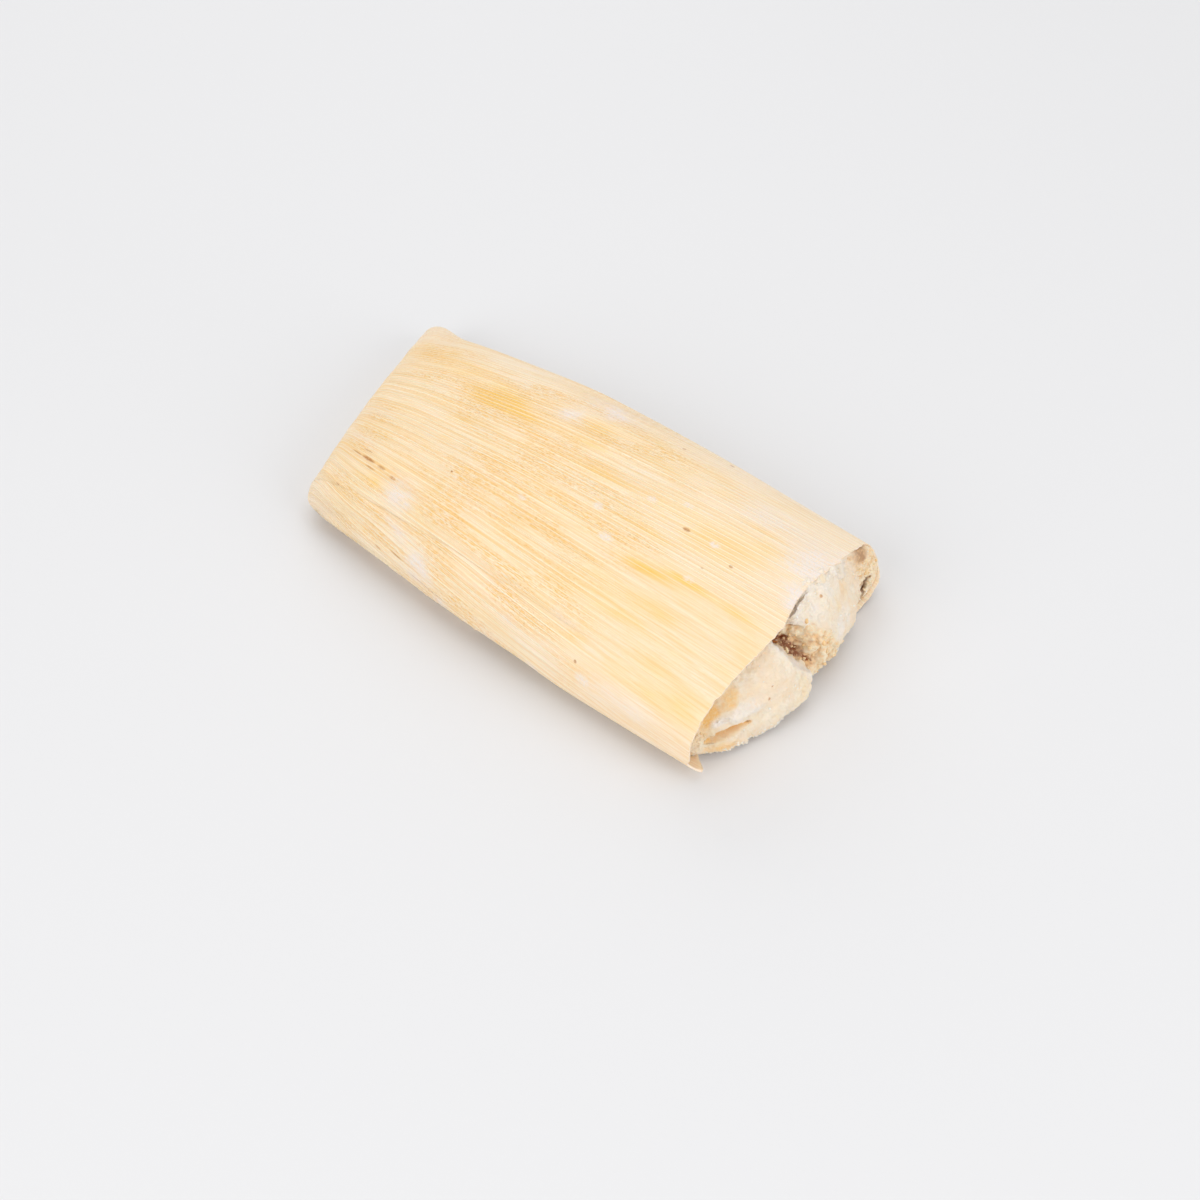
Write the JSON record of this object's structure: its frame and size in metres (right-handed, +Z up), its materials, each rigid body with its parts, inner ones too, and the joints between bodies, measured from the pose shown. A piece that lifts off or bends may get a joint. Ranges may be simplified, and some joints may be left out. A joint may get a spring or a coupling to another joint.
{
  "type": "tamale",
  "caption": "Steamed tamale in its dried corn husk, with a folded-under end and an open end that shows the dough and the filling.",
  "frame": {"origin": "middle of the underside of the whole tamale, on the surface it lies on", "axes": "+X along its length from the folded end to the open end, +Y towards the back long side, +Z up"},
  "size_m": [0.1444, 0.0718, 0.0237],
  "materials": {
    "husk": "dry ribbed corn husk, satin",
    "masa": "crumbly steamed corn dough, matte",
    "filling": "cooked shredded meat, slightly moist"
  },
  "bodies": {
    "root": {"husk": "husk", "masa": "masa", "filling": "filling"}
  },
  "joints": []
}
